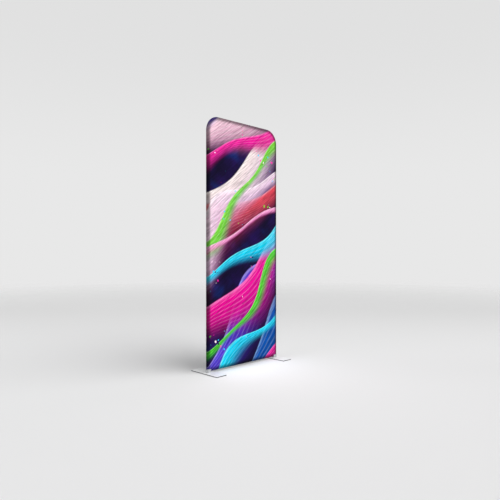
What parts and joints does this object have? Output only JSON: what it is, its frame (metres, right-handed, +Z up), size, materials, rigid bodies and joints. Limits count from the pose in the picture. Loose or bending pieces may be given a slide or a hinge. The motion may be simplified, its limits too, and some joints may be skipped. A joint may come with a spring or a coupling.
{
  "type": "backlit display wall",
  "caption": "Free-standing backlit display wall: a zipped cloth print stretched over a round-cornered tube frame with edge light bars, standing on flat swivelling feet.",
  "frame": {"origin": "on the floor, under the middle of the wall", "axes": "+X to the right seen from the lit front, +Y to the rear, +Z up"},
  "size_m": [1.0762, 0.386, 2.5],
  "materials": {
    "print_cloth": "stretched knit print, lit from behind",
    "rear_cloth": "stretched opaque white knit",
    "tube": "clear anodised tube",
    "corner_casting": "silver-grey powder coat",
    "foot_metal": "light silver powder coat on steel",
    "mat": "ribbed anti-slip sheet",
    "washer": "natural acetal",
    "steel": "zinc plated",
    "channel": "satin extrusion",
    "board": "white solder mask",
    "lens": "clear moulded lens",
    "saddle": "moulded",
    "lead": "white insulation",
    "zip_tape": "woven tape",
    "zip_coil": "nylon coil",
    "zip_metal": "nickel plated casting",
    "inlet": "moulded"
  },
  "bodies": {
    "frame": {"base_spring_left": "steel", "base_spring_right": "steel", "bottom_rail": "tube", "corner_block_left": "corner_casting", "corner_block_right": "corner_casting", "front_print": "print_cloth", "jumper_left": "lead", "jumper_right": "lead", "lead_across": "lead", "lead_clips": "saddle", "lead_right": "lead", "led_boards": "board", "led_channel_left_lower": "channel", "led_channel_left_upper": "channel", "led_channel_right_lower": "channel", "led_channel_right_upper": "channel", "led_lenses": "lens", "led_saddles": "saddle", "lower_pole_left": "tube", "lower_pole_right": "tube", "mid_coupler_left": "tube", "mid_coupler_right": "tube", "mid_spring_left": "steel", "mid_spring_right": "steel", "pivot_screw_left": "steel", "pivot_screw_right": "steel", "power_inlet": "inlet", "rail_spring_left": "steel", "rail_spring_right": "steel", "rear_panel": "rear_cloth", "swivel_washer_left": "washer", "swivel_washer_right": "washer", "top_coupler_left": "tube", "top_coupler_right": "tube", "top_rail": "tube", "top_spring_left": "steel", "top_spring_right": "steel", "upper_pole_left": "tube", "upper_pole_right": "tube", "zip_coil": "zip_coil", "zip_stops": "zip_metal", "zip_tapes": "zip_tape"},
    "foot_left": {"foot_plate_left": "foot_metal", "foot_mat_left": "mat"},
    "foot_right": {"foot_plate_right": "foot_metal", "foot_mat_right": "mat"},
    "zip_slider": {"zip_slider": "zip_metal"},
    "zip_pull": {"zip_pull": "zip_metal"},
    "base_button_left": {"base_button_left": "steel"},
    "mid_button_left": {"mid_button_left": "steel"},
    "top_button_left": {"top_button_left": "steel"},
    "rail_button_left": {"rail_button_left": "steel"},
    "base_button_right": {"base_button_right": "steel"},
    "mid_button_right": {"mid_button_right": "steel"},
    "top_button_right": {"top_button_right": "steel"},
    "rail_button_right": {"rail_button_right": "steel"}
  },
  "joints": [
    {"name": "foot_left_swivel", "type": "hinge", "parent": "frame", "child": "foot_left", "pos_m": [-0.4841, 0, 0], "axis": [0, 0, 1], "range_deg": [-90, 90]},
    {"name": "base_button_left_press", "type": "slide", "parent": "frame", "child": "base_button_left", "axis": [-1, 0, 0], "range_m": [0, 0.0042], "stiffness_N_per_m": 1500, "springref_m": -0.002, "deforming": ["base_spring_left"]},
    {"name": "mid_button_left_press", "type": "slide", "parent": "frame", "child": "mid_button_left", "axis": [-1, 0, 0], "range_m": [0, 0.0042], "stiffness_N_per_m": 1500, "springref_m": -0.002, "deforming": ["mid_spring_left"]},
    {"name": "top_button_left_press", "type": "slide", "parent": "frame", "child": "top_button_left", "axis": [0, 0, 1], "range_m": [0, 0.0042], "stiffness_N_per_m": 1500, "springref_m": -0.002, "deforming": ["top_spring_left"]},
    {"name": "rail_button_left_press", "type": "slide", "parent": "frame", "child": "rail_button_left", "axis": [0, 0, -1], "range_m": [0, 0.0042], "stiffness_N_per_m": 1500, "springref_m": -0.002, "deforming": ["rail_spring_left"]},
    {"name": "foot_right_swivel", "type": "hinge", "parent": "frame", "child": "foot_right", "pos_m": [0.4841, 0, 0], "axis": [0, 0, 1], "range_deg": [-90, 90]},
    {"name": "base_button_right_press", "type": "slide", "parent": "frame", "child": "base_button_right", "axis": [1, 0, 0], "range_m": [0, 0.0042], "stiffness_N_per_m": 1500, "springref_m": -0.002, "deforming": ["base_spring_right"]},
    {"name": "mid_button_right_press", "type": "slide", "parent": "frame", "child": "mid_button_right", "axis": [1, 0, 0], "range_m": [0, 0.0042], "stiffness_N_per_m": 1500, "springref_m": -0.002, "deforming": ["mid_spring_right"]},
    {"name": "top_button_right_press", "type": "slide", "parent": "frame", "child": "top_button_right", "axis": [0, 0, 1], "range_m": [0, 0.0042], "stiffness_N_per_m": 1500, "springref_m": -0.002, "deforming": ["top_spring_right"]},
    {"name": "rail_button_right_press", "type": "slide", "parent": "frame", "child": "rail_button_right", "axis": [0, 0, -1], "range_m": [0, 0.0042], "stiffness_N_per_m": 1500, "springref_m": -0.002, "deforming": ["rail_spring_right"]},
    {"name": "zip_run", "type": "slide", "parent": "frame", "child": "zip_slider", "axis": [1, 0, 0], "range_m": [-0.78, 0], "deforming": ["zip_coil"]},
    {"name": "zip_pull_swing", "type": "hinge", "parent": "zip_slider", "child": "zip_pull", "pos_m": [0.3931, 0.0208, 0.09], "axis": [1, 0, 0], "range_deg": [0, 170]}
  ]
}
